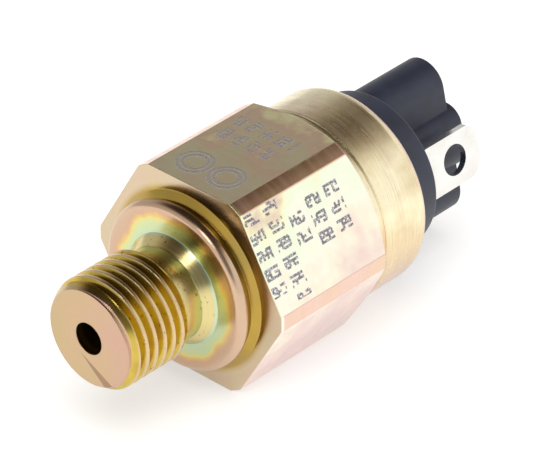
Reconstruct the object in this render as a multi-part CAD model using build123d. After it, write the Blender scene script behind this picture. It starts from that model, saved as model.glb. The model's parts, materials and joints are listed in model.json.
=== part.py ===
from build123d import *
import os
from math import cos, radians, sin, tan

# Pressure switch with a threaded port, a hexagon body, a rolled lip and an insulating cap with two blade
# tabs. Millimetres. The origin is the centre of the sealing face, +X runs from the port to the tabs and
# +Z is the normal of the uppermost hexagon flat.

# Threaded port, G1/4
PORT_END = -12.84
PORT_FACE_R = 5.70
PORT_HOLE_R = 1.9
PORT_CHAMFER_R = 6.25
PORT_CHAMFER_X = -11.95
THREAD_CREST_R = 6.5
THREAD_ROOT_R = 5.72
THREAD_PITCH = 1.337
THREAD_ROOT_FLAT = 0.18
THREAD_FLANK_DEG = 27.5
THREAD_PHASE_X = -12.139
THREAD_STOP_X = -4.34
NECK_R = 5.54
NECK_START_X = -3.64
NECK_END_X = -1.2
NECK_FOOT_R = 6.61

# Sealing collar, hexagon and rear cylinder
COLLAR_R = 10.1
COLLAR_ROUND = 0.9
COLLAR_END_X = 1.06
GROOVE_R = 9.6
HEX_FRONT_X = 2.66
HEX_FRONT_R = 10.5
HEX_FLATS = 24.0
HEX_CORNER_R = 13.4
HEX_CORNER_END_X = 19.36
HEX_END_X = 20.46
RELIEF_R = 11.55
RELIEF_END_X = 21.46
REAR_R = 11.75
LIP_X = 28.71
LIP_ROUND = 1.4
LIP_INNER_R = 10.2
LIP_THICKNESS = 0.95

# Hollow of the body
CHAMBER_R = 6.8
CHAMBER_X = 4.6
SEAT_X = 6.0
BORE_R = 9.4
SHOULDER_X = 22.0
COUNTERBORE_R = 10.6

# Pressure side
DIAPHRAGM_R = 9.3
DIAPHRAGM_END_X = 7.0
PLATE_R = 6.0
PLATE_END_X = 7.55
PISTON_HEAD_R = 6.2
PISTON_HEAD_END_X = 9.1
PISTON_STEM_R = 3.5
PISTON_END_X = 12.6
GUIDE_RECESS_R = 6.6
GUIDE_RECESS_END_X = 10.2
GUIDE_END_X = 12.0
STEM_CLEARANCE = 0.05

# Contacts
CARRIER_R = 4.4
BRIDGE_X = 15.0
BRIDGE_THICKNESS = 0.5
BRIDGE_HALF_LENGTH = 6.8
BRIDGE_HALF_WIDTH = 1.6
CARRIER_PEG_R = 1.9
CONTACT_T = 5.4
CONTACT_R = 1.25
CONTACT_HEAD = 0.6
CONTACT_SHANK_R = 0.65
CONTACT_GAP = 0.8
FOOT_THICKNESS = 0.8
FOOT_HALF_WIDTH = 2.0
FOOT_INNER_T = 4.0
SLEEVE_R = 9.3
SLEEVE_BORE_R = 8.35

# Range spring, its seats and the adjusting screw
SPRING_R = 2.9
SPRING_WIRE = 0.9
SPRING_TURNS = 6.5
SEAT_R = 3.8
LOWER_SEAT_END_X = 16.2
UPPER_SEAT_X = 26.5
UPPER_SEAT_END_X = 27.5
SEAT_COLLAR_R = 2.3
SEAT_COLLAR = 0.8
SCREW_CREST_R = 2.45
SCREW_ROOT_R = 2.02
SCREW_PITCH = 0.8
SCREW_TIP_R = 1.6
SCREW_TIP_X = 26.95
SCREW_THREAD_X = 28.3
SCREW_END_X = 40.0
SCREW_SLOT = 0.8
SCREW_SLOT_DEPTH = 1.3
INSERT_R = 3.6
INSERT_X = 29.05
INSERT_END_X = 32.4
INSERT_BORE_R = 2.5

# Cap, turned a little about X from the hexagon
CAP_TURN_DEG = 13.1
CAP_X = 23.1
FLANGE_R = 10.5
SKIRT_FOOT_R = 9.75
SKIRT_TOP_R = 9.45
CAP_FACE_X = 32.56
CAP_EDGE_ROUND = 0.3
CAP_RECESS_R = 8.4
CAP_RECESS_END_X = 24.6
SEAT_BORE_R = 3.9
SEAT_BORE_END_X = 29.0
SCREW_HOLE_R = 2.7
WALL_HALF_THICKNESS = 3.1
WALL_HALF_WIDTH = 9.3
WALL_END_X = 42.5
BOSS_HALF_T = 4.1
BOSS_HALF_W = 3.8
BOSS_CORNER_R = 2.33
BOSS_END_X = 43.4
SEAL_CORD_R = 0.6
SEAL_RING_R = 9.95
SEAL_X = 25.2

# Blade tabs, 6.3 x 0.8
TAB_WIDTH = 6.3
TAB_THICKNESS = 0.8
TAB_OUTER_T = 7.65
TAB_END_X = 42.05
TAB_TAPER_X = 40.45
TAB_TIP_WIDTH = 3.4
TAB_TIP_CHAMFER = 1.0
TAB_TIP_THICKNESS = 0.4
TAB_HOLE_R = 1.835
TAB_HOLE_X = 37.82
TAB_SLOT_CLEARANCE = 0.05

AXIAL = (1, 0, 0)
CAP_WIDE = (0, sin(radians(CAP_TURN_DEG)), cos(radians(CAP_TURN_DEG)))
CAP_ACROSS = (0, -cos(radians(CAP_TURN_DEG)), sin(radians(CAP_TURN_DEG)))


def turned(*points):
    """Solid of revolution about X of a closed outline given as (x, radius) points."""
    return revolve(make_face(Polyline(*points, close=True)), axis=Axis.X)


def ring(start, end, outer, inner):
    """Tube about X."""
    return turned((start, inner), (end, inner), (end, outer), (start, outer))


def rod(start, end, radius):
    """Cylinder about X."""
    return turned((start, 0), (end, 0), (end, radius), (start, radius))


def cap_plane(x):
    """Plane across the axis with its first direction along the cap's wall and its second across it."""
    return Plane(origin=(x, 0, 0), x_dir=CAP_WIDE, z_dir=AXIAL)


def across(x, length, sketch):
    """Prism along X from a sketch drawn on the cap's own directions."""
    return extrude(cap_plane(x) * sketch, amount=length)


def stud(start, end, radius, t):
    """Small cylinder parallel to X, offset across the cap's wall."""
    return across(start, end - start, Pos(0, t) * Circle(radius))


def threaded(blank, first_x, turns, pitch, root_r, crest_r, root_flat):
    """Blank with a right-hand screw groove about X, cut turn by turn from first_x."""
    helix = Helix(pitch, pitch, root_r)
    outer_r = crest_r + 0.1
    flare = (outer_r - root_r) * tan(radians(THREAD_FLANK_DEG))
    half = root_flat / 2
    corners = [(root_r, -half), (outer_r, -half - flare), (outer_r, half + flare), (root_r, half)]
    tool = make_face(Plane.XZ * Polyline(*corners, close=True))
    groove = Rot(0, 90, 0) * sweep(tool, path=helix, is_frenet=True)
    for turn in range(turns):
        blank -= Pos(first_x + turn * pitch, 0, 0) * groove
    return blank


def make_port():
    """Threaded shank from the port face to the sealing face."""
    shank = turned(
        (PORT_END, 0),
        (PORT_END, PORT_FACE_R),
        (PORT_CHAMFER_X, PORT_CHAMFER_R),
        (PORT_CHAMFER_X + 0.3, THREAD_CREST_R),
        (THREAD_STOP_X, THREAD_CREST_R),
        (NECK_START_X, NECK_R),
        (NECK_END_X, NECK_R),
        (0, NECK_FOOT_R),
        (1.0, NECK_FOOT_R),
        (1.0, 0),
    )
    first_x = THREAD_PHASE_X - THREAD_PITCH
    return threaded(shank, first_x, 8, THREAD_PITCH, THREAD_ROOT_R, THREAD_CREST_R, THREAD_ROOT_FLAT)


def make_collar():
    """Rounded sealing collar and the groove behind it."""
    outline = [
        Line((0, 0), (0, COLLAR_R - COLLAR_ROUND)),
        RadiusArc((0, COLLAR_R - COLLAR_ROUND), (COLLAR_ROUND, COLLAR_R), COLLAR_ROUND),
        Polyline(
            (COLLAR_ROUND, COLLAR_R),
            (COLLAR_END_X, COLLAR_R),
            (COLLAR_END_X + 0.15, GROOVE_R),
            (HEX_FRONT_X - 0.6, GROOVE_R),
            (HEX_FRONT_X, HEX_FRONT_R),
            (HEX_FRONT_X + 0.5, HEX_FRONT_R),
            (HEX_FRONT_X + 0.5, 0),
            (0, 0),
        ),
    ]
    return revolve(make_face(Curve() + outline), axis=Axis.X)


def make_hexagon():
    """Hexagon with turned corners and a chamfered rear edge."""
    prism = extrude(
        Plane(origin=(HEX_FRONT_X, 0, 0), x_dir=(0, 1, 0), z_dir=AXIAL)
        * RegularPolygon(HEX_FLATS / 2, 6, major_radius=False),
        amount=HEX_END_X - HEX_FRONT_X,
    )
    blank = turned(
        (HEX_FRONT_X, 0),
        (HEX_FRONT_X, HEX_CORNER_R),
        (HEX_CORNER_END_X, HEX_CORNER_R),
        (HEX_END_X, REAR_R),
        (HEX_END_X, 0),
    )
    return prism & blank


def make_rear():
    """Rear cylinder with the relief behind the hexagon and the lip rolled over the cap."""
    outline = [
        Polyline(
            (HEX_END_X - 0.5, 0),
            (HEX_END_X - 0.5, REAR_R - 0.1),
            (HEX_END_X, REAR_R - 0.1),
            (HEX_END_X + 0.12, RELIEF_R),
            (RELIEF_END_X - 0.12, RELIEF_R),
            (RELIEF_END_X, REAR_R),
            (LIP_X - LIP_ROUND, REAR_R),
        ),
        RadiusArc((LIP_X - LIP_ROUND, REAR_R), (LIP_X, REAR_R - LIP_ROUND), LIP_ROUND),
        Polyline((LIP_X, REAR_R - LIP_ROUND), (LIP_X, 0), (HEX_END_X - 0.5, 0)),
    ]
    return revolve(make_face(Curve() + outline), axis=Axis.X)


def make_body():
    """Port, collar, hexagon and rear cylinder in one piece, hollowed from both ends."""
    hollow = turned(
        (PORT_END - 1, 0),
        (PORT_END - 1, PORT_HOLE_R),
        (CHAMBER_X, PORT_HOLE_R),
        (CHAMBER_X + 0.4, CHAMBER_R),
        (SEAT_X, CHAMBER_R),
        (SEAT_X, BORE_R),
        (SHOULDER_X, BORE_R),
        (SHOULDER_X, COUNTERBORE_R),
        (LIP_X - LIP_THICKNESS - 0.3, COUNTERBORE_R),
        (LIP_X - LIP_THICKNESS, LIP_INNER_R + 0.15),
        (LIP_X - LIP_THICKNESS + 0.15, LIP_INNER_R),
        (LIP_X - 0.12, LIP_INNER_R),
        (LIP_X + 1, LIP_INNER_R + 0.4),
        (LIP_X + 1, 0),
    )
    return make_port() + make_collar() + make_hexagon() + make_rear() - hollow


def make_diaphragm():
    """Rubber diaphragm with a shallow moulded convolution inside its clamped rim."""
    disc = rod(SEAT_X + 0.02, DIAPHRAGM_END_X, DIAPHRAGM_R)
    return disc - ring(DIAPHRAGM_END_X - 0.35, DIAPHRAGM_END_X + 1, PLATE_R + 0.5, PLATE_R + 0.05)


def make_piston():
    """Piston head and the stem that carries the contacts."""
    head = rod(PLATE_END_X + 0.02, PISTON_HEAD_END_X, PISTON_HEAD_R)
    stem = rod(PLATE_END_X + 0.02, PISTON_END_X, PISTON_STEM_R)
    return head + stem


def make_piston_guide():
    """Ring that clamps the diaphragm's rim and guides the piston's stem."""
    return turned(
        (DIAPHRAGM_END_X, GUIDE_RECESS_R),
        (DIAPHRAGM_END_X, DIAPHRAGM_R),
        (GUIDE_END_X, DIAPHRAGM_R),
        (GUIDE_END_X, PISTON_STEM_R + STEM_CLEARANCE),
        (GUIDE_RECESS_END_X, PISTON_STEM_R + STEM_CLEARANCE),
        (GUIDE_RECESS_END_X, GUIDE_RECESS_R),
    )


def make_contact_carrier():
    """Insulating carrier on the piston's stem with a peg that centres the bridge."""
    base = rod(PISTON_END_X, BRIDGE_X, CARRIER_R)
    peg = rod(BRIDGE_X, LOWER_SEAT_END_X - 0.1, CARRIER_PEG_R)
    return base + peg


def make_contact_bridge():
    """Spring-copper strip with a centring hole and two rivet holes."""
    strip = across(
        BRIDGE_X,
        BRIDGE_THICKNESS,
        SlotOverall(2 * BRIDGE_HALF_LENGTH, 2 * BRIDGE_HALF_WIDTH, rotation=90) + Circle(SEAT_R - 0.6),
    )
    holes = stud(BRIDGE_X - 1, BRIDGE_X + 2, CARRIER_PEG_R + 0.05, 0)
    for side in (-1, 1):
        holes += stud(BRIDGE_X - 1, BRIDGE_X + 2, CONTACT_SHANK_R, side * CONTACT_T)
    return strip - holes


def make_moving_contact(side):
    """Silver rivet in the end of the bridge."""
    top = BRIDGE_X + BRIDGE_THICKNESS
    head = stud(top, top + CONTACT_HEAD, CONTACT_R, side * CONTACT_T)
    shank = stud(BRIDGE_X - 0.25, top, CONTACT_SHANK_R, side * CONTACT_T)
    upset = stud(BRIDGE_X - 0.25, BRIDGE_X, CONTACT_SHANK_R + 0.3, side * CONTACT_T)
    return head + shank + upset


def foot_x():
    """Underside of the terminals' feet."""
    return BRIDGE_X + BRIDGE_THICKNESS + 2 * CONTACT_HEAD + CONTACT_GAP


def make_fixed_contact(side):
    """Silver rivet in the foot of a terminal."""
    foot = foot_x()
    head = stud(foot - CONTACT_HEAD, foot, CONTACT_R, side * CONTACT_T)
    shank = stud(foot, foot + FOOT_THICKNESS + 0.25, CONTACT_SHANK_R, side * CONTACT_T)
    upset_x = foot + FOOT_THICKNESS
    upset = stud(upset_x, upset_x + 0.25, CONTACT_SHANK_R + 0.3, side * CONTACT_T)
    return head + shank + upset


def make_terminal():
    """Blade tab that runs through the cap and turns inwards to a foot for the fixed contact."""
    half = TAB_WIDTH / 2
    tip = TAB_TIP_WIDTH / 2
    blade_plane = Plane(
        origin=Vector(*CAP_ACROSS) * (TAB_OUTER_T - TAB_THICKNESS), x_dir=AXIAL, z_dir=CAP_ACROSS
    )
    blade_outline = Polyline(
        (foot_x(), -FOOT_HALF_WIDTH),
        (CAP_RECESS_END_X - 1.0, -FOOT_HALF_WIDTH),
        (CAP_RECESS_END_X, -half),
        (TAB_TAPER_X, -half),
        (TAB_TAPER_X + 0.62, -half + 0.38),
        (TAB_END_X, -tip),
        (TAB_END_X, tip),
        (TAB_TAPER_X + 0.62, half - 0.38),
        (TAB_TAPER_X, half),
        (CAP_RECESS_END_X, half),
        (CAP_RECESS_END_X - 1.0, FOOT_HALF_WIDTH),
        (foot_x(), FOOT_HALF_WIDTH),
        close=True,
    )
    blade_face = make_face(blade_outline) - Pos(TAB_HOLE_X, 0) * Circle(TAB_HOLE_R)
    blade = extrude(blade_plane * blade_face, amount=TAB_THICKNESS)
    for lip in (TAB_OUTER_T, TAB_OUTER_T - TAB_THICKNESS):
        outward = 1 if lip == TAB_OUTER_T else -1
        inset = (TAB_THICKNESS - TAB_TIP_THICKNESS) / 2
        wedge_plane = Plane(origin=(0, 0, 0), x_dir=AXIAL, z_dir=tuple(-c for c in CAP_WIDE))
        wedge = Polyline(
            (TAB_END_X - TAB_TIP_CHAMFER, lip),
            (TAB_END_X + 0.2, lip - outward * inset * (TAB_TIP_CHAMFER + 0.2) / TAB_TIP_CHAMFER),
            (TAB_END_X + 0.2, lip + outward * 0.5),
            (TAB_END_X - TAB_TIP_CHAMFER, lip + outward * 0.5),
            close=True,
        )
        blade -= extrude(wedge_plane * make_face(wedge), amount=half + 1, both=True)
    foot_length = TAB_OUTER_T - FOOT_INNER_T
    foot_centre = (TAB_OUTER_T + FOOT_INNER_T) / 2
    foot = across(
        foot_x(), FOOT_THICKNESS, Pos(0, foot_centre) * Rectangle(2 * FOOT_HALF_WIDTH, foot_length)
    )
    rivet_hole = stud(foot_x() - 1, foot_x() + 2, CONTACT_SHANK_R, CONTACT_T)
    return blade + foot - rivet_hole


def make_contact_housing():
    """Insulating sleeve that keeps the contacts clear of the body."""
    sleeve = ring(GUIDE_END_X + 0.05, SHOULDER_X, SLEEVE_R, SLEEVE_BORE_R)
    flange = ring(GUIDE_END_X + 0.05, GUIDE_END_X + 0.85, SLEEVE_R, CARRIER_R + 0.4)
    return sleeve + flange


def make_lower_spring_seat():
    """Pressed washer with a collar that centres the spring."""
    washer = ring(BRIDGE_X + BRIDGE_THICKNESS, LOWER_SEAT_END_X, SEAT_R, CARRIER_PEG_R + 0.05)
    collar = ring(LOWER_SEAT_END_X, LOWER_SEAT_END_X + SEAT_COLLAR, SEAT_COLLAR_R, CARRIER_PEG_R + 0.05)
    return washer + collar


def make_range_spring():
    """Compression spring with ground ends."""
    start = LOWER_SEAT_END_X + 0.02
    end = UPPER_SEAT_X - 0.02
    helix = Helix((end - start) / SPRING_TURNS, end - start, SPRING_R)
    wire_plane = Plane(origin=helix @ 0, z_dir=helix % 0)
    wire = sweep(wire_plane * Circle(SPRING_WIRE / 2), path=helix, is_frenet=True)
    coil = Pos(start, 0, 0) * Rot(0, 90, 0) * wire
    return coil & rod(start, end, SPRING_R + SPRING_WIRE)


def make_upper_spring_seat():
    """Sliding seat with a collar for the spring and a pocket for the screw's point."""
    disc = rod(UPPER_SEAT_X, UPPER_SEAT_END_X, SEAT_R)
    collar = rod(UPPER_SEAT_X - SEAT_COLLAR, UPPER_SEAT_X, SEAT_COLLAR_R)
    pocket = rod(SCREW_TIP_X - 0.05, UPPER_SEAT_END_X + 1, SCREW_TIP_R + 0.1)
    return disc + collar - pocket


def make_adjusting_screw():
    """M5 x 0.8 grub screw with a dog point and a screwdriver slot."""
    blank = turned(
        (SCREW_TIP_X, 0),
        (SCREW_TIP_X, SCREW_TIP_R - 0.2),
        (SCREW_TIP_X + 0.2, SCREW_TIP_R),
        (SCREW_THREAD_X - 0.45, SCREW_TIP_R),
        (SCREW_THREAD_X, SCREW_CREST_R),
        (SCREW_END_X - 0.4, SCREW_CREST_R),
        (SCREW_END_X, SCREW_ROOT_R),
        (SCREW_END_X, 0),
    )
    screw = threaded(blank, SCREW_THREAD_X - 0.8, 16, SCREW_PITCH, SCREW_ROOT_R, SCREW_CREST_R, 0.1)
    return screw - across(
        SCREW_END_X - SCREW_SLOT_DEPTH, 3, Rectangle(4 * SCREW_CREST_R, SCREW_SLOT, rotation=35)
    )


def make_threaded_insert():
    """Brass insert with a knurled outside, moulded into the cap."""
    insert = ring(INSERT_X, INSERT_END_X, INSERT_R, INSERT_BORE_R)
    middle = (INSERT_X + INSERT_END_X) / 2
    insert -= ring(middle - 0.4, middle + 0.4, INSERT_R + 1, INSERT_R - 0.3)
    flute = Rectangle(0.3, 0.3, rotation=45)
    for place in PolarLocations(INSERT_R, 24):
        insert -= across(INSERT_X - 1, INSERT_END_X - INSERT_X + 2, place * flute)
    return insert


def make_terminal_cap():
    """Moulded cap: flange under the lip, skirt, end face, cross wall and the boss round the screw."""
    base = turned(
        (CAP_X, 0),
        (CAP_X, FLANGE_R - 0.3),
        (CAP_X + 0.3, FLANGE_R),
        (SEAL_X - SEAL_CORD_R - 0.1, FLANGE_R),
        (SEAL_X - SEAL_CORD_R - 0.1, SEAL_RING_R - SEAL_CORD_R - 0.05),
        (SEAL_X + SEAL_CORD_R + 0.1, SEAL_RING_R - SEAL_CORD_R - 0.05),
        (SEAL_X + SEAL_CORD_R + 0.1, FLANGE_R),
        (LIP_X - LIP_THICKNESS - 0.4, FLANGE_R),
        (LIP_X - LIP_THICKNESS - 0.05, LIP_INNER_R),
        (LIP_X - LIP_THICKNESS - 0.05, SKIRT_FOOT_R),
        (LIP_X, SKIRT_FOOT_R),
        (CAP_FACE_X - CAP_EDGE_ROUND, SKIRT_TOP_R),
        (CAP_FACE_X - 0.1, SKIRT_TOP_R - 0.08),
        (CAP_FACE_X, SKIRT_TOP_R - CAP_EDGE_ROUND),
        (CAP_FACE_X, 0),
    )
    wall = across(
        CAP_FACE_X - 1, WALL_END_X - CAP_FACE_X + 1, SlotOverall(2 * WALL_HALF_WIDTH, 2 * WALL_HALF_THICKNESS)
    )
    boss = across(
        CAP_FACE_X - 1,
        BOSS_END_X - CAP_FACE_X + 1,
        RectangleRounded(2 * BOSS_HALF_W, 2 * BOSS_HALF_T, BOSS_CORNER_R),
    )
    hollow = turned(
        (CAP_X - 1, 0),
        (CAP_X - 1, CAP_RECESS_R),
        (CAP_RECESS_END_X, CAP_RECESS_R),
        (CAP_RECESS_END_X, SEAT_BORE_R),
        (SEAT_BORE_END_X, SEAT_BORE_R),
        (SEAT_BORE_END_X, INSERT_R + 0.02),
        (INSERT_END_X + 0.02, INSERT_R + 0.02),
        (INSERT_END_X + 0.02, SCREW_HOLE_R),
        (BOSS_END_X - 0.3, SCREW_HOLE_R),
        (BOSS_END_X + 0.2, SCREW_HOLE_R + 0.5),
        (BOSS_END_X + 0.2, 0),
    )
    slot_t = TAB_OUTER_T - TAB_THICKNESS / 2
    slot = Rectangle(TAB_WIDTH + 2 * TAB_SLOT_CLEARANCE, TAB_THICKNESS + 2 * TAB_SLOT_CLEARANCE)
    cap = base + wall + boss - hollow
    for side in (-1, 1):
        cap -= across(CAP_X, CAP_FACE_X - CAP_X + 1, Pos(0, side * slot_t) * slot)
    return cap


def make_seal_ring():
    """O-ring between the cap's flange and the body."""
    section = Pos(SEAL_X, SEAL_RING_R) * Circle(SEAL_CORD_R)
    return revolve(section, axis=Axis.X)


terminal = make_terminal()
half_turn = Rot(180, 0, 0)

nodes = {
    "body": make_body(),
    "diaphragm": make_diaphragm(),
    "diaphragm_plate": rod(DIAPHRAGM_END_X + 0.02, PLATE_END_X, PLATE_R),
    "piston": make_piston(),
    "piston_guide": make_piston_guide(),
    "contact_carrier": make_contact_carrier(),
    "contact_bridge": make_contact_bridge(),
    "moving_contact_left": make_moving_contact(1),
    "moving_contact_right": make_moving_contact(-1),
    "fixed_contact_left": make_fixed_contact(1),
    "fixed_contact_right": make_fixed_contact(-1),
    "terminal_left": terminal,
    "terminal_right": half_turn * terminal,
    "contact_housing": make_contact_housing(),
    "lower_spring_seat": make_lower_spring_seat(),
    "range_spring": make_range_spring(),
    "upper_spring_seat": make_upper_spring_seat(),
    "adjusting_screw": make_adjusting_screw(),
    "threaded_insert": make_threaded_insert(),
    "terminal_cap": make_terminal_cap(),
    "cap_seal_ring": make_seal_ring(),
    "clamp_washer": ring(SHOULDER_X + 0.02, CAP_X - 0.02, FLANGE_R, SLEEVE_BORE_R),
}

os.makedirs("parts", exist_ok=True)
for name, shape in nodes.items():
    export_step(shape, f"parts/{name}.step")
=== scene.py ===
import json
import math

import bmesh
import bpy
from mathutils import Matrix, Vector


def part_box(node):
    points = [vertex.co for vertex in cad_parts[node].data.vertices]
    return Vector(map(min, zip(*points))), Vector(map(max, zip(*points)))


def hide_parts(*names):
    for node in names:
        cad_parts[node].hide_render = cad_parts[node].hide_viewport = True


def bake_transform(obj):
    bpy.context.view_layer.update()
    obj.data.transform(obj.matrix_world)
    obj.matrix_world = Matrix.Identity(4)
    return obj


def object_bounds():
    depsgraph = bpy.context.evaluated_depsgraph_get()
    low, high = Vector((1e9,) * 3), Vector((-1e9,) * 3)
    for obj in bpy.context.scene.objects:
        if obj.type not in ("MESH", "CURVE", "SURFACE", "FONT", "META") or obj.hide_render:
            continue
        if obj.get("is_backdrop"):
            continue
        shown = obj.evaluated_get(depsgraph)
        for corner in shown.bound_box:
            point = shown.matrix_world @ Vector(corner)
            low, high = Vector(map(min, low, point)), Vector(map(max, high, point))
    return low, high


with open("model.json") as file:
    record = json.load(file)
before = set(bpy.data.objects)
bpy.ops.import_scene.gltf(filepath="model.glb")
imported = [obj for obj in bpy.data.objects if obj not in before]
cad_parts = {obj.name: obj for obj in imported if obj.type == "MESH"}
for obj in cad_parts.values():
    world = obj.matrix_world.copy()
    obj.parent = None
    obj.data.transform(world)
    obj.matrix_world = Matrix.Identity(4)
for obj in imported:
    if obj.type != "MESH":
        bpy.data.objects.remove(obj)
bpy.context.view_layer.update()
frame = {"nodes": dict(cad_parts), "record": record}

# The frame is in metres; the surfaces are worked out in millimetres
MM = 0.001

# Places on the switch, all read from the frame
nodes = frame["nodes"]
low, high = (Vector(corner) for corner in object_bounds())
body_low, body_high = (Vector(corner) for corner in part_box("body"))
spring_low, spring_high = (Vector(corner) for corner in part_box("range_spring"))
centre = (low + high) / 2
spring_middle = (spring_low.x + spring_high.x) / 2

# The body's ends along its axis and its reach out from it, in millimetres
port_end = body_low.x / MM
lip_end = body_high.x / MM
flat_out = body_high.z / MM
corner_r = body_high.y / MM
end_face = port_end + 0.5

# Where the body changes along its axis and out from it, in millimetres
THREAD_END = -4.0
THREAD_CREST = 6.5
NECK_FOOT_R = 6.6
COLLAR_START = -0.25
COLLAR_END = 1.0
GROOVE_R = 10.9
HEX_START = 2.66
HEX_END = 20.46
FLATS_START = HEX_START + 0.1
FLATS_END = HEX_END - 0.5
FLAT_SKIN = 0.03
CORNER_STRIP = 0.06
LIP_LENGTH = 0.9

# Painted dark reflection below the port's bore, a brown wedge: its direction across the end face, how far
# it starts to one side of the axis, how it leans and how it widens
DARK_REFLECTION_Y = -0.875
DARK_REFLECTION_Z = -0.48
DARK_REFLECTION_ASIDE = 2.6
DARK_REFLECTION_LEAN = 0.09
DARK_REFLECTION_SPREAD = 0.12

# Sizes of the surface patterns, in millimetres. The tool's real lines are finer than the fine turning
# here, which is as coarse as it needs to be to show.
FILM_CLOUD = 5.882
FINE_TURNING = 1 / 7
BROAD_TURNING = 0.714
DRAWN_LINE = 0.2
SEALANT_SPECK = 0.526
NYLON_CLOUD = 2.857
NYLON_GRAIN = 1 / 7
TARNISH_CLOUD = 2.5

# Filler marks struck with a pin, in millimetres: their dots and strokes, the lattice of their rows along
# X, and for each row where it starts along X, then its start and end across its flat
PEEN_DOT = 0.24
ROW_START = 2.43
ROW_PITCH = 2.95
ROW_SPAN = 24.0
NO_ROW = (11.0, 11.0)
STROKE_WIDE = 0.52
STROKE_TALL = 0.6
STROKE_HALF = 0.16
STROKE_SOFT = 0.08
STROKE_MISSING = 0.38
CELLS_PER_MARK = 4.0
CELLS_WIDE = 2.0
CELLS_TALL = 3.0
SIDE_ROWS = (
    (0.0, -5.6, 3.8),
    (ROW_START + ROW_PITCH, -5.7, 5.2),
    (ROW_START + 2 * ROW_PITCH, -3.1, 0.8),
    (ROW_START + 3 * ROW_PITCH, -4.0, 1.6),
    (ROW_START + 4 * ROW_PITCH, -4.1, 1.7),
    (ROW_START + 5 * ROW_PITCH, *NO_ROW),
)
TOP_ROWS = (
    (0.0, *NO_ROW),
    (ROW_START + 3 * ROW_PITCH, -4.5, 3.0),
    (ROW_START + 4 * ROW_PITCH, -5.0, 3.4),
    (ROW_START + 5 * ROW_PITCH, *NO_ROW),
)

# Two plain rings struck on the uppermost flat, in millimetres
RING_X = 6.3
RING_ACROSS = -0.2
RING_R = 2.0
RING_APART = 2.3
RING_LINE = 0.34
RING_GAP = 0.6

# Floor, light and view, in metres and degrees
FLOOR_REACH = 3.0
TENT_OPENING = Vector((-0.62, -0.56, 0.55))
OPENING_DEG = 27.0
SIGHT_HEADING_DEG = 42.49
SIGHT_DOWN_DEG = 33.4
CAMERA_DISTANCE = 0.475
AIM_OFFSET = Vector((-0.00015, -0.0003, 0.0009))


def linear(colour):
    """Linear RGBA of an sRGB hex colour."""
    channels = [int(colour[i:i + 2], 16) / 255 for i in (1, 3, 5)]
    return [c / 12.92 if c <= 0.04045 else ((c + 0.055) / 1.055) ** 2.4 for c in channels] + [1.0]


def add(tree, kind, *inputs, named=None, stops=(), take=0, **settings):
    """One node with its settings and links, and the output to take from it.

    The kind is a node's type, or the operation of a maths node. Each input, in order or named, is a
    number, a colour or another node's output. Stops are a ramp's positions and colours.
    """
    maths = kind.isupper()
    node = tree.nodes.new("ShaderNodeMath" if maths else "ShaderNode" + kind)
    if maths:
        settings = {"operation": kind}
    for name, value in settings.items():
        setattr(node, name, value)
    for socket, value in [*enumerate(inputs), *(named or {}).items()]:
        if isinstance(value, bpy.types.NodeSocket):
            tree.links.new(value, node.inputs[socket])
        elif value is not None:
            node.inputs[socket].default_value = value
    for index, (position, colour) in enumerate(stops):
        elements = node.color_ramp.elements
        element = elements[index] if index < len(elements) else elements.new(1.0)
        element.position = position
        element.color = linear(colour) if isinstance(colour, str) else colour
    return node.outputs[take] if len(node.outputs) else node


def blank_material(name):
    """Empty node material and its tree."""
    material = bpy.data.materials.new(name)
    material.use_nodes = True
    material.node_tree.nodes.clear()
    return material, material.node_tree


def between(tree, value, start, end, width):
    """1 from start to end and 0 outside, each edge softened over a width; without an end it stays 1."""
    steps = [
        add(
            tree,
            "MapRange",
            value,
            edge - width / 2,
            edge + width / 2,
            0.0,
            1.0,
            interpolation_type="SMOOTHSTEP",
        )
        for edge in (start, end)
        if edge is not None
    ]
    return steps[0] if end is None else add(tree, "SUBTRACT", *steps)


def point_in_mm(tree):
    """Point on the surface, in the switch's own frame and in millimetres."""
    point = add(tree, "TexCoord", take="Object")
    return add(tree, "VectorMath", point, named={"Scale": 1 / MM}, operation="SCALE")


def distance(tree, a, b):
    """Distance from the middle of two directions at right angles."""
    squares = add(tree, "ADD", add(tree, "MULTIPLY", a, a), add(tree, "MULTIPLY", b, b))
    return add(tree, "SQRT", squares)


def coated(tree, film, *coats):
    """A film with coats over it in order; each coat is the share that it covers and its colour."""
    for share, colour in coats:
        over = linear(colour) if isinstance(colour, str) else colour
        film = add(tree, "Mix", named={0: share, 6: film, 7: over}, take=2, data_type="RGBA")
    return film


def row_windows(tree, x, rows):
    """Start and end across the flat of the filler row at each X; rows are (from X, start, end)."""
    stops = [
        (from_x / ROW_SPAN, (start / ROW_SPAN + 0.5, end / ROW_SPAN + 0.5, 0.0, 1.0))
        for from_x, start, end in rows
    ]
    ramp = add(tree, "ValToRGB", add(tree, "DIVIDE", x, ROW_SPAN), stops=stops)
    ramp.node.color_ramp.interpolation = "CONSTANT"
    ends = add(tree, "SeparateColor", ramp).node.outputs
    return [add(tree, "MULTIPLY", add(tree, "SUBTRACT", ends[i], 0.5), ROW_SPAN) for i in range(2)]


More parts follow.
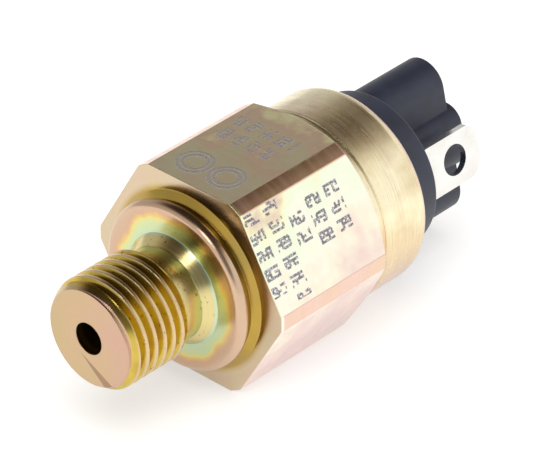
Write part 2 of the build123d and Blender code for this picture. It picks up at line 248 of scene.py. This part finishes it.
def filler_rows(tree, across, x, start, end, seed):
    """Mask of rows of struck filler marks: short strokes on a lattice, chosen at random."""
    row = add(tree, "DIVIDE", add(tree, "SUBTRACT", x, ROW_START), ROW_PITCH)
    in_row = add(tree, "MULTIPLY", add(tree, "SUBTRACT", add(tree, "FRACT", row), 0.5), ROW_PITCH)
    u = add(tree, "DIVIDE", add(tree, "SUBTRACT", across, start), STROKE_WIDE)
    v = add(tree, "MULTIPLY_ADD", in_row, 1 / STROKE_TALL, CELLS_TALL / 2)
    row_seed = add(tree, "ADD", add(tree, "MULTIPLY", add(tree, "FLOOR", row), 7.0), seed)
    along_rows = (add(tree, "ROUND", u), add(tree, "FLOOR", v))
    across_rows = (add(tree, "FLOOR", u), add(tree, "ROUND", v))
    strokes = []
    # Strokes both ways on the lattice: cells, place and nearest line, spacing, end of a mark and seed
    for (index_u, index_v), place, nearest, step, last, kind in (
        (along_rows, u, along_rows[0], STROKE_WIDE, CELLS_WIDE + 0.5, 0.0),
        (across_rows, v, across_rows[1], STROKE_TALL, CELLS_WIDE - 0.5, 50.0),
    ):
        cell = add(tree, "CombineXYZ", index_u, index_v, add(tree, "ADD", row_seed, kind))
        chosen = add(tree, "GREATER_THAN", add(tree, "TexWhiteNoise", cell), STROKE_MISSING)
        in_mark = add(tree, "LESS_THAN", add(tree, "FLOORED_MODULO", index_u, CELLS_PER_MARK), last)
        aside = add(tree, "MULTIPLY", add(tree, "ABSOLUTE", add(tree, "SUBTRACT", place, nearest)), step)
        near = add(tree, "SUBTRACT", 1.0, between(tree, aside, STROKE_HALF, None, STROKE_SOFT))
        strokes.append(add(tree, "MULTIPLY", add(tree, "MULTIPLY", chosen, in_mark), near))
    started = add(tree, "GREATER_THAN", across, add(tree, "SUBTRACT", start, STROKE_HALF))
    not_ended = add(tree, "LESS_THAN", across, end)
    tall = add(tree, "LESS_THAN", add(tree, "ABSOLUTE", in_row), CELLS_TALL / 2 * STROKE_TALL + STROKE_HALF)
    window = add(tree, "MULTIPLY", add(tree, "MULTIPLY", started, not_ended), tall)
    return add(tree, "MULTIPLY", add(tree, "MAXIMUM", *strokes), window)


def ring_pair(tree, across, x):
    """Mask of two plain struck rings side by side, each drawn with two lines."""
    off_middle = add(tree, "ABSOLUTE", add(tree, "SUBTRACT", across, RING_ACROSS))
    off_u = add(tree, "SUBTRACT", off_middle, RING_APART)
    off_v = add(tree, "SUBTRACT", x, RING_X)
    off_ring = distance(tree, off_u, off_v)
    lines = [
        between(tree, off_ring, line_r - RING_LINE / 2, line_r + RING_LINE / 2, STROKE_SOFT)
        for line_r in (RING_R, RING_R - RING_GAP)
    ]
    return add(tree, "MAXIMUM", *lines)


def flat_masks(tree, y, z):
    """Masks of the uppermost flat and the next one down, and the places across them."""
    turn = math.radians(60)
    side_out = add(
        tree,
        "ADD",
        add(tree, "MULTIPLY", y, -math.sin(turn)),
        add(tree, "MULTIPLY", z, math.cos(turn)),
    )
    side_across = add(
        tree,
        "ADD",
        add(tree, "MULTIPLY", y, -math.cos(turn)),
        add(tree, "MULTIPLY", z, -math.sin(turn)),
    )
    on_top = between(tree, z, flat_out - FLAT_SKIN, None, 0.02)
    on_side = between(tree, side_out, flat_out - FLAT_SKIN, None, 0.02)
    return on_top, on_side, add(tree, "MULTIPLY", y, -1.0), side_across


def struck_marks(tree, x, on_top, on_side, top_across, side_across):
    """Mask of all the filler marks on the two flats."""
    across = add(tree, "Mix", on_top, None, side_across, top_across)
    side_window = row_windows(tree, x, SIDE_ROWS)
    top_window = row_windows(tree, x, TOP_ROWS)
    start, end = (add(tree, "Mix", on_top, None, side, top) for side, top in zip(side_window, top_window))
    rows = filler_rows(tree, across, x, start, end, add(tree, "MULTIPLY", on_top, 90.0))
    rings = add(tree, "MULTIPLY", on_top, ring_pair(tree, top_across, x))
    on_flats = add(tree, "MAXIMUM", on_top, on_side)
    return add(tree, "MULTIPLY", add(tree, "MAXIMUM", rows, rings), on_flats)


def port_end_film(tree, y, z, clouds):
    """Pale tan film of the port's end face, with a painted dark reflection, a brown wedge, below the bore.
    """
    # Painted dark reflection: a brown wedge below the bore, placed across the end face
    along = add(tree, "ADD", add(tree, "MULTIPLY", y, DARK_REFLECTION_Y), add(tree, "MULTIPLY", z, DARK_REFLECTION_Z))
    aside = add(tree, "ADD", add(tree, "MULTIPLY", y, -DARK_REFLECTION_Z), add(tree, "MULTIPLY", z, DARK_REFLECTION_Y))
    aside = add(tree, "SUBTRACT", aside, add(tree, "MULTIPLY_ADD", along, DARK_REFLECTION_LEAN, DARK_REFLECTION_ASIDE))
    aside = add(tree, "ABSOLUTE", aside)
    half_width = add(tree, "MULTIPLY", along, DARK_REFLECTION_SPREAD)
    painted_dark_reflection = between(tree, add(tree, "SUBTRACT", half_width, aside), 0.0, None, 0.12)
    place = add(tree, "ADD", clouds, add(tree, "MULTIPLY", y, -0.035))
    stops = [(0.25, "#c4ad84"), (0.5, "#c9ac88"), (0.7, "#cca890"), (0.85, "#cda593")]
    tint = add(tree, "ValToRGB", place, stops=stops)
    return coated(tree, tint, (add(tree, "MULTIPLY", painted_dark_reflection, 0.8), "#98795f"))


def barrel_film(tree, x, radius, groove, clouds):
    """Thick gold film of the thread's roots, the neck and the groove; the crests are painted paler so that
    the roots read as painted shade, and a deep brown coat in the groove is painted shade.
    """
    place = add(tree, "ADD", clouds, add(tree, "MULTIPLY", x, 0.01))
    stops = [(0.25, "#bf9f4c"), (0.4, "#d0b652"), (0.55, "#c6a852"), (0.7, "#b9a85e")]
    film = add(tree, "ValToRGB", place, stops=stops)
    on_thread = add(tree, "LESS_THAN", x, THREAD_END)
    # Painted shade: the crests are painted paler, so the thread's roots stay darker
    crest = add(tree, "MULTIPLY", between(tree, radius, THREAD_CREST - 0.12, None, 0.16), on_thread)
    on_neck = add(tree, "MULTIPLY", add(tree, "SUBTRACT", 1.0, on_thread), add(tree, "LESS_THAN", x, 0.0))
    # Painted shade: the deep brown coat over the groove darkens it
    return coated(
        tree,
        film,
        (add(tree, "MULTIPLY", crest, 0.75), "#d8c0a2"),
        (add(tree, "MULTIPLY", on_neck, 0.85), "#dccf98"),
        (add(tree, "MULTIPLY", groove, 0.55), "#a07f40"),
    )


def yellow_chromated_zinc():
    """Turned and milled free-cutting steel, zinc plated and yellow chromated.

    The chromate film is thick and strongly gold on the thread, neck and groove; the groove's deeper brown
    and the thread's roots, darker than the paler crests, are painted shade. It thins to cream on the
    hexagon and drifts to olive, rose and mint, and it stands in rings on the sealing face.
    """
    material, tree = blank_material("yellow_chromated_zinc")
    point = point_in_mm(tree)
    x, y, z = add(tree, "SeparateXYZ", point).node.outputs
    radius = distance(tree, y, z)
    clouds = add(tree, "TexNoise", point, None, 1 / FILM_CLOUD, 3.0, 0.55)
    drift = add(tree, "SUBTRACT", clouds, 0.5)
    on_top, on_side, top_across, side_across = flat_masks(tree, y, z)

    flats = add(
        tree,
        "MULTIPLY",
        between(tree, x, FLATS_START, FLATS_END, 0.1),
        add(tree, "SUBTRACT", 1.0, between(tree, radius, corner_r - 0.04, None, 0.04)),
    )
    corners = add(
        tree,
        "MULTIPLY",
        between(tree, x, HEX_START + 0.4, FLATS_END, 0.2),
        between(tree, radius, corner_r - CORNER_STRIP, None, 0.04),
    )
    groove = add(
        tree,
        "MULTIPLY",
        between(tree, x, COLLAR_END, FLATS_START, 0.1),
        add(tree, "SUBTRACT", 1.0, between(tree, radius, GROOVE_R, None, 1.2)),
    )
    rear = between(tree, x, HEX_END, None, 0.2)
    port = between(tree, x, end_face, COLLAR_START, 0.3)
    sealing = between(tree, x, COLLAR_START, COLLAR_END, 0.2)
    port_face = add(tree, "LESS_THAN", x, end_face)
    # Painted shade: faces turned toward the port, picked by their normal, get a deeper tan
    normal_x = add(tree, "SeparateXYZ", add(tree, "TexCoord", take="Normal"))
    toward_port_shade_mask = add(tree, "LESS_THAN", normal_x, -0.25)

    # Thin film on the hexagon: olive to rose along the top flat, cream to mint to rose going down
    place = add(tree, "MULTIPLY_ADD", x, 0.009, add(tree, "MULTIPLY_ADD", on_top, -0.16, 0.33))
    place = add(tree, "ADD", place, add(tree, "MULTIPLY", add(tree, "SUBTRACT", 6.0, z), 0.022))
    place = add(tree, "ADD", place, add(tree, "MULTIPLY", drift, 0.7))
    thin = add(
        tree,
        "ValToRGB",
        place,
        stops=[
            (0.0, "#dcdcc0"),
            (0.1, "#e0d6bc"),
            (0.2, "#e6cdb8"),
            (0.27, "#faf6cc"),
            (0.36, "#f4fbe0"),
            (0.46, "#fbfae6"),
            (0.54, "#fdf2dc"),
            (0.64, "#f4dcd2"),
            (0.78, "#ead0ca"),
            (0.9, "#e3d0cc"),
            (1.0, "#e2d2b4"),
        ],
    )

    # Rose on the narrow strips along the hexagon's corners; the deeper tan on the faces turned toward the
    # port, picked by which way each face points, is painted shade
    corner_film = add(
        tree, "ValToRGB", clouds, stops=[(0.35, "#e6cfae"), (0.5, "#e4c4b0"), (0.65, "#e8c9bd")]
    )
    tan_film_painted_shade = add(tree, "ValToRGB", clouds, stops=[(0.3, "#d0c3a6"), (0.5, "#d2be9f"), (0.7, "#d6bda9")])

    # Cream and gold film on the rear cylinder, pinker on its rolled lip; colour is set by height, with a
    # bright cream band high up as a painted highlight and slightly darker colour lower down as painted
    # shade
    place = add(tree, "MULTIPLY_ADD", z, -0.02, add(tree, "MULTIPLY_ADD", drift, 0.6, 0.5))
    rear_film_and_painted_light = add(
        tree,
        "ValToRGB",
        place,
        stops=[(0.2, "#e3ceb4"), (0.36, "#f9eecb"), (0.5, "#e6d2aa"), (0.62, "#dfc6a4"), (0.75, "#dfc3b4")],
    )
    lip = add(tree, "MULTIPLY", between(tree, x, lip_end - LIP_LENGTH, None, 0.5), 0.7)
    rear_film_and_painted_light = coated(tree, rear_film_and_painted_light, (lip, "#e6c4bd"))

    # Rings of film colour from the neck's foot out to the rim of the sealing collar
    place = add(tree, "MULTIPLY", add(tree, "SUBTRACT", radius, NECK_FOOT_R), 0.286)
    place = add(tree, "ADD", place, add(tree, "MULTIPLY_ADD", drift, 0.9, 0.06))
    rings = add(
        tree,
        "ValToRGB",
        place,
        stops=[
            (0.0, "#c4d6b4"),
            (0.3, "#ced9a8"),
            (0.42, "#e2d588"),
            (0.52, "#e0be80"),
            (0.64, "#d3ad90"),
            (0.8, "#cfb096"),
            (1.0, "#cfb197"),
        ],
    )

    film = coated(
        tree,
        thin,
        (corners, corner_film),
        (toward_port_shade_mask, tan_film_painted_shade),
        (rear, rear_film_and_painted_light),
        (port_face, port_end_film(tree, y, z, clouds)),
        (sealing, rings),
        (add(tree, "MAXIMUM", port, groove), barrel_film(tree, x, radius, groove, clouds)),
    )

    # Turning lines follow X on cylinders and the radius on faces; drawn lines run along the flats
    turned_at = add(tree, "CombineXYZ", x, radius)
    turning_fine = add(tree, "TexNoise", turned_at, None, 1 / FINE_TURNING, 3.0, 0.65)
    turning_broad = add(tree, "TexNoise", turned_at, None, 1 / BROAD_TURNING, 2.0, 0.5)
    drawn_at = add(tree, "CombineXYZ", add(tree, "MULTIPLY", x, 0.06), y, z)
    drawn = add(tree, "TexNoise", drawn_at, None, 1 / DRAWN_LINE, 3.0, 0.6)
    lines = add(tree, "Mix", flats, None, turning_fine, drawn)

    # Short scratches round the rear cylinder, where the lip was rolled over
    angle = add(tree, "ARCTAN2", y, z)
    scratched_at = add(tree, "CombineXYZ", add(tree, "MULTIPLY", x, 6.0), add(tree, "MULTIPLY", angle, 3.0))
    scratches = add(tree, "TexNoise", scratched_at, None, 1.0, 3.0, 0.7)
    scratches = add(tree, "MULTIPLY", rear, between(tree, scratches, 0.62, None, 0.12))

    # Filler marks, struck with a pin through the film: bright dots in grey lilac strokes
    marks = struck_marks(tree, x, on_top, on_side, top_across, side_across)
    peening = add(tree, "TexVoronoi", point, None, 1 / PEEN_DOT, take="Distance")
    dimple = add(tree, "SUBTRACT", 1.0, add(tree, "MULTIPLY", peening, 0.8))
    dimple = add(tree, "MULTIPLY", marks, dimple)
    off_dots = between(tree, peening, 0.42, None, 0.3)
    # Painted light: the marks on the top flat are painted paler than those on the side flat
    top_marks_painted_paler = add(tree, "MULTIPLY", on_top, 0.8)
    struck = coated(tree, linear("#dddbe3"), (off_dots, "#8a8690"), (top_marks_painted_paler, "#f4f2f8"))
    marked = coated(tree, film, (add(tree, "MULTIPLY", marks, 0.92), struck))

    # Lines, scratches and small dark specks of sealant on the thread shade the film
    depth = add(tree, "Mix", flats, None, add(tree, "Mix", rear, None, 0.14, 0.42), 0.07)
    shade = add(tree, "MULTIPLY_ADD", add(tree, "SUBTRACT", lines, 0.5), depth, 1.0)
    shade = add(tree, "SUBTRACT", shade, add(tree, "MULTIPLY", scratches, 0.12))
    specks = add(tree, "TexNoise", point, None, 1 / SEALANT_SPECK, 2.0, 0.5)
    specks = add(tree, "MULTIPLY", between(tree, specks, 0.69, None, 0.03), port)
    shade = add(tree, "MULTIPLY", shade, add(tree, "MULTIPLY_ADD", specks, -0.5, 1.0))
    shaded = add(tree, "VectorMath", marked, named={"Scale": shade}, operation="SCALE")

    rough = add(tree, "MapRange", turning_broad, 0.3, 0.7, 0.17, 0.26)
    rough = add(tree, "ADD", rough, add(tree, "MULTIPLY", marks, 0.4))
    rough = add(tree, "ADD", rough, add(tree, "MULTIPLY", rear, 0.06))
    height = add(tree, "MULTIPLY", lines, add(tree, "Mix", flats, None, 0.25, 0.1))
    height = add(tree, "SUBTRACT", height, dimple)
    height = add(tree, "SUBTRACT", height, add(tree, "MULTIPLY", scratches, 0.3))
    edges = add(tree, "Bevel", 0.14 * MM, samples=6)
    bump = add(
        tree,
        "Bump",
        named={"Height": height, "Normal": edges, "Strength": 0.5, "Distance": 0.03 * MM},
    )
    shader = add(
        tree,
        "BsdfPrincipled",
        named={"Base Color": shaded, "Roughness": rough, "Normal": bump, "Metallic": 1.0},
    )
    add(tree, "OutputMaterial", shader)
    return material


def moulded_nylon():
    """Dark blue-grey glass-filled nylon, moulded: satin, with a fine grain and faint flow clouds."""
    material, tree = blank_material("moulded_nylon")
    point = point_in_mm(tree)
    clouds = add(tree, "TexNoise", point, None, 1 / NYLON_CLOUD, 3.0, 0.6)
    speckle = add(tree, "TexNoise", point, None, 1 / NYLON_GRAIN, 2.0, 0.6)
    tint = add(tree, "ValToRGB", clouds, stops=[(0.3, "#171b2b"), (0.7, "#20263a")])
    rough = add(tree, "MapRange", speckle, 0.3, 0.7, 0.38, 0.5)
    edges = add(tree, "Bevel", 0.2 * MM, samples=4)
    bump = add(
        tree,
        "Bump",
        named={"Height": speckle, "Normal": edges, "Strength": 0.25, "Distance": 0.02 * MM},
    )
    shader = add(
        tree,
        "BsdfPrincipled",
        named={"Base Color": tint, "Roughness": rough, "Normal": bump, "IOR": 1.53},
    )
    add(tree, "OutputMaterial", shader)
    return material


def plain_metal(name, pale, deep, low_rough, high_rough, line_width):
    """A bare or plated metal, with rolling or turning lines of a width in millimetres."""
    material, tree = blank_material(name)
    point = point_in_mm(tree)
    x, y, z = add(tree, "SeparateXYZ", point).node.outputs
    drawn_at = add(tree, "CombineXYZ", add(tree, "MULTIPLY", x, 0.06), y, z)
    lines = add(tree, "TexNoise", drawn_at, None, 1 / line_width, 3.0, 0.6)
    clouds = add(tree, "TexNoise", point, None, 1 / TARNISH_CLOUD, 2.0, 0.5)
    tint = add(tree, "ValToRGB", clouds, stops=[(0.3, deep), (0.7, pale)])
    rough = add(tree, "MapRange", lines, 0.3, 0.7, low_rough, high_rough)
    bump = add(tree, "Bump", named={"Height": lines, "Strength": 0.2, "Distance": 0.01 * MM})
    shader = add(
        tree,
        "BsdfPrincipled",
        named={"Base Color": tint, "Roughness": rough, "Normal": bump, "Metallic": 1.0},
    )
    add(tree, "OutputMaterial", shader)
    return material


def moulded_solid(name, pale, deep, roughness, speckle_size):
    """A moulded rubber or plastic, with a fine speckle of a size in millimetres."""
    material, tree = blank_material(name)
    point = point_in_mm(tree)
    speckle = add(tree, "TexNoise", point, None, 1 / speckle_size, 3.0, 0.6)
    tint = add(tree, "ValToRGB", speckle, stops=[(0.3, deep), (0.7, pale)])
    bump = add(tree, "Bump", named={"Height": speckle, "Strength": 0.2, "Distance": 0.01 * MM})
    shader = add(
        tree, "BsdfPrincipled", named={"Base Color": tint, "Normal": bump, "Roughness": roughness}
    )
    add(tree, "OutputMaterial", shader)
    return material


# Tin, clear zinc, copper, silver, spring wire and brass: each bare metal's own colour and the fine lines
# left by rolling, drawing or turning. The rubber is matt black and the carrier's nylon is ivory and satin.
finishes = {
    "yellow_chromate_steel": yellow_chromated_zinc(),
    "cap_plastic": moulded_nylon(),
    "tinned_brass": plain_metal("tin_plated_brass", "#f2f1ee", "#e4e2de", 0.18, 0.3, 1 / 6),
    "plain_steel": plain_metal("clear_zinc_plated_steel", "#c9cac9", "#b2b4b5", 0.25, 0.4, 1 / 6),
    "contact_copper": plain_metal("rolled_copper", "#d89a72", "#c4825c", 0.2, 0.35, 1 / 5),
    "contact_silver": plain_metal("silver_rivet", "#e8e6e0", "#d6d3cb", 0.12, 0.2, 1 / 8),
    "spring_steel": plain_metal("drawn_spring_steel", "#8f9193", "#6f7173", 0.25, 0.35, 1 / 8),
    "insert_brass": plain_metal("knurled_brass", "#dcc07a", "#c9a85c", 0.25, 0.35, 1 / 6),
    "diaphragm_rubber": moulded_solid("nitrile_rubber", "#262626", "#1b1b1b", 0.6, 1 / 3),
    "carrier_plastic": moulded_solid("natural_nylon", "#d6cfbd", "#c9c1ad", 0.45, 1 / 2),
}
for piece in frame["record"]["subparts"]:
    surface = nodes[piece["node"]]
    surface.data.materials.clear()
    surface.data.materials.append(finishes[piece["material_slot"]])


def spring_half(name, lower):
    """Half of the range spring, split at its middle; returns the new piece."""
    rest = nodes["range_spring"]
    mesh = rest.data.copy()
    mesh.transform(rest.matrix_world)
    shape = bmesh.new()
    shape.from_mesh(mesh)
    other_side = [face for face in shape.faces if (face.calc_center_median().x > spring_middle) == lower]
    bmesh.ops.delete(shape, geom=other_side, context="FACES")
    shape.to_mesh(mesh)
    shape.free()
    half = bpy.data.objects.new(name, mesh)
    bpy.context.scene.collection.objects.link(half)
    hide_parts("range_spring")
    return half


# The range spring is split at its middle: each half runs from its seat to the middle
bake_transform(spring_half("range_spring_lower", True))
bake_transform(spring_half("range_spring_upper", False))


def light(name, place, target, size, power, colour):
    """Rectangular softbox at a place, facing a target; sizes in metres."""
    lamp = bpy.data.lights.new(name, "AREA")
    lamp.shape = "RECTANGLE"
    lamp.size, lamp.size_y = size
    lamp.energy = power
    lamp.color = linear(colour)[:3]
    holder = bpy.data.objects.new(name, lamp)
    holder.location = place
    holder.rotation_euler = (Vector(target) - Vector(place)).to_track_quat("-Z", "Y").to_euler()
    bpy.context.scene.collection.objects.link(holder)
    return holder


scene = bpy.context.scene
scene.view_settings.view_transform = "Standard"

# Floor: a white acrylic light table, lit from below so that the shadow stays faint
floor_mesh = bpy.data.meshes.new("floor")
floor_corners = [
    (side_x * FLOOR_REACH, side_y * FLOOR_REACH, low.z)
    for side_x, side_y in ((-1, -1), (1, -1), (1, 1), (-1, 1))
]
floor_mesh.from_pydata(floor_corners, [], [(0, 1, 2, 3)])
floor = bpy.data.objects.new("floor", floor_mesh)
scene.collection.objects.link(floor)
acrylic, acrylic_tree = blank_material("white_acrylic_light_table")
acrylic_surface = add(
    acrylic_tree,
    "BsdfPrincipled",
    named={
        "Base Color": linear("#c3c2c1"),
        "Roughness": 0.9,
        "Emission Color": linear("#ffffff"),
        "Emission Strength": 0.55,
    },
)
add(acrylic_tree, "OutputMaterial", acrylic_surface)
floor_mesh.materials.append(acrylic)
floor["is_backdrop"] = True

# Studio light: a white tent with bright walls, dark at the top and dimmer on its far side
world = bpy.data.worlds.new("light_tent")
world.use_nodes = True
tent = world.node_tree
tent.nodes.clear()
direction = add(tent, "TexCoord", take="Generated")
toward = add(tent, "SeparateXYZ", direction).node.outputs
tent_colour = add(
    tent,
    "ValToRGB",
    add(tent, "MULTIPLY_ADD", toward[1], 0.12, toward[2]),
    stops=[
        (0.0, "#ffffff"),
        (0.44, "#fffefb"),
        (0.54, "#f3efe6"),
        (0.62, "#d6cdbf"),
        (0.68, "#a3937f"),
        (0.74, "#75644f"),
        (0.79, "#453c31"),
        (1.0, "#3f382f"),
    ],
)
far_side = add(tent, "MapRange", toward[1], -0.2, 0.55, 1.05, 0.62)
# The tent's front has a dark opening, up and to one side of the port
opening = add(
    tent, "VectorMath", direction, TENT_OPENING.normalized(), take="Value", operation="DOT_PRODUCT"
)
in_opening = between(tent, opening, math.cos(math.radians(OPENING_DEG)), None, 0.07)
tent_strength = add(tent, "MULTIPLY", far_side, add(tent, "MULTIPLY_ADD", in_opening, -0.8, 1.0))
tent_glow = add(tent, "Background", named={"Color": tent_colour, "Strength": tent_strength})
add(tent, "OutputWorld", tent_glow)
scene.world = world

overhead = light("overhead_box", centre + Vector((-0.1, -0.1, 0.9)), centre, (1.2, 1.2), 11.0, "#ffffff")
overhead.visible_glossy = False
light("left_box", centre + 0.7 * Vector((-0.75, -0.1, 0.6)), centre, (0.16, 0.22), 0.45, "#fffdf8")

# Camera
heading, down = math.radians(SIGHT_HEADING_DEG), math.radians(SIGHT_DOWN_DEG)
sight = Vector((math.cos(down) * math.cos(heading), math.cos(down) * math.sin(heading), -math.sin(down)))
aim = Vector((centre.x, 0.0, 0.0)) + AIM_OFFSET
camera_data = bpy.data.cameras.new("camera")
camera_data.lens = 290.0
camera_data.sensor_width = 36.0
camera_data.clip_start = 0.01
camera = bpy.data.objects.new("camera", camera_data)
camera.location = aim - sight * CAMERA_DISTANCE
camera.rotation_euler = sight.to_track_quat("-Z", "Y").to_euler()
scene.collection.objects.link(camera)
scene.camera = camera
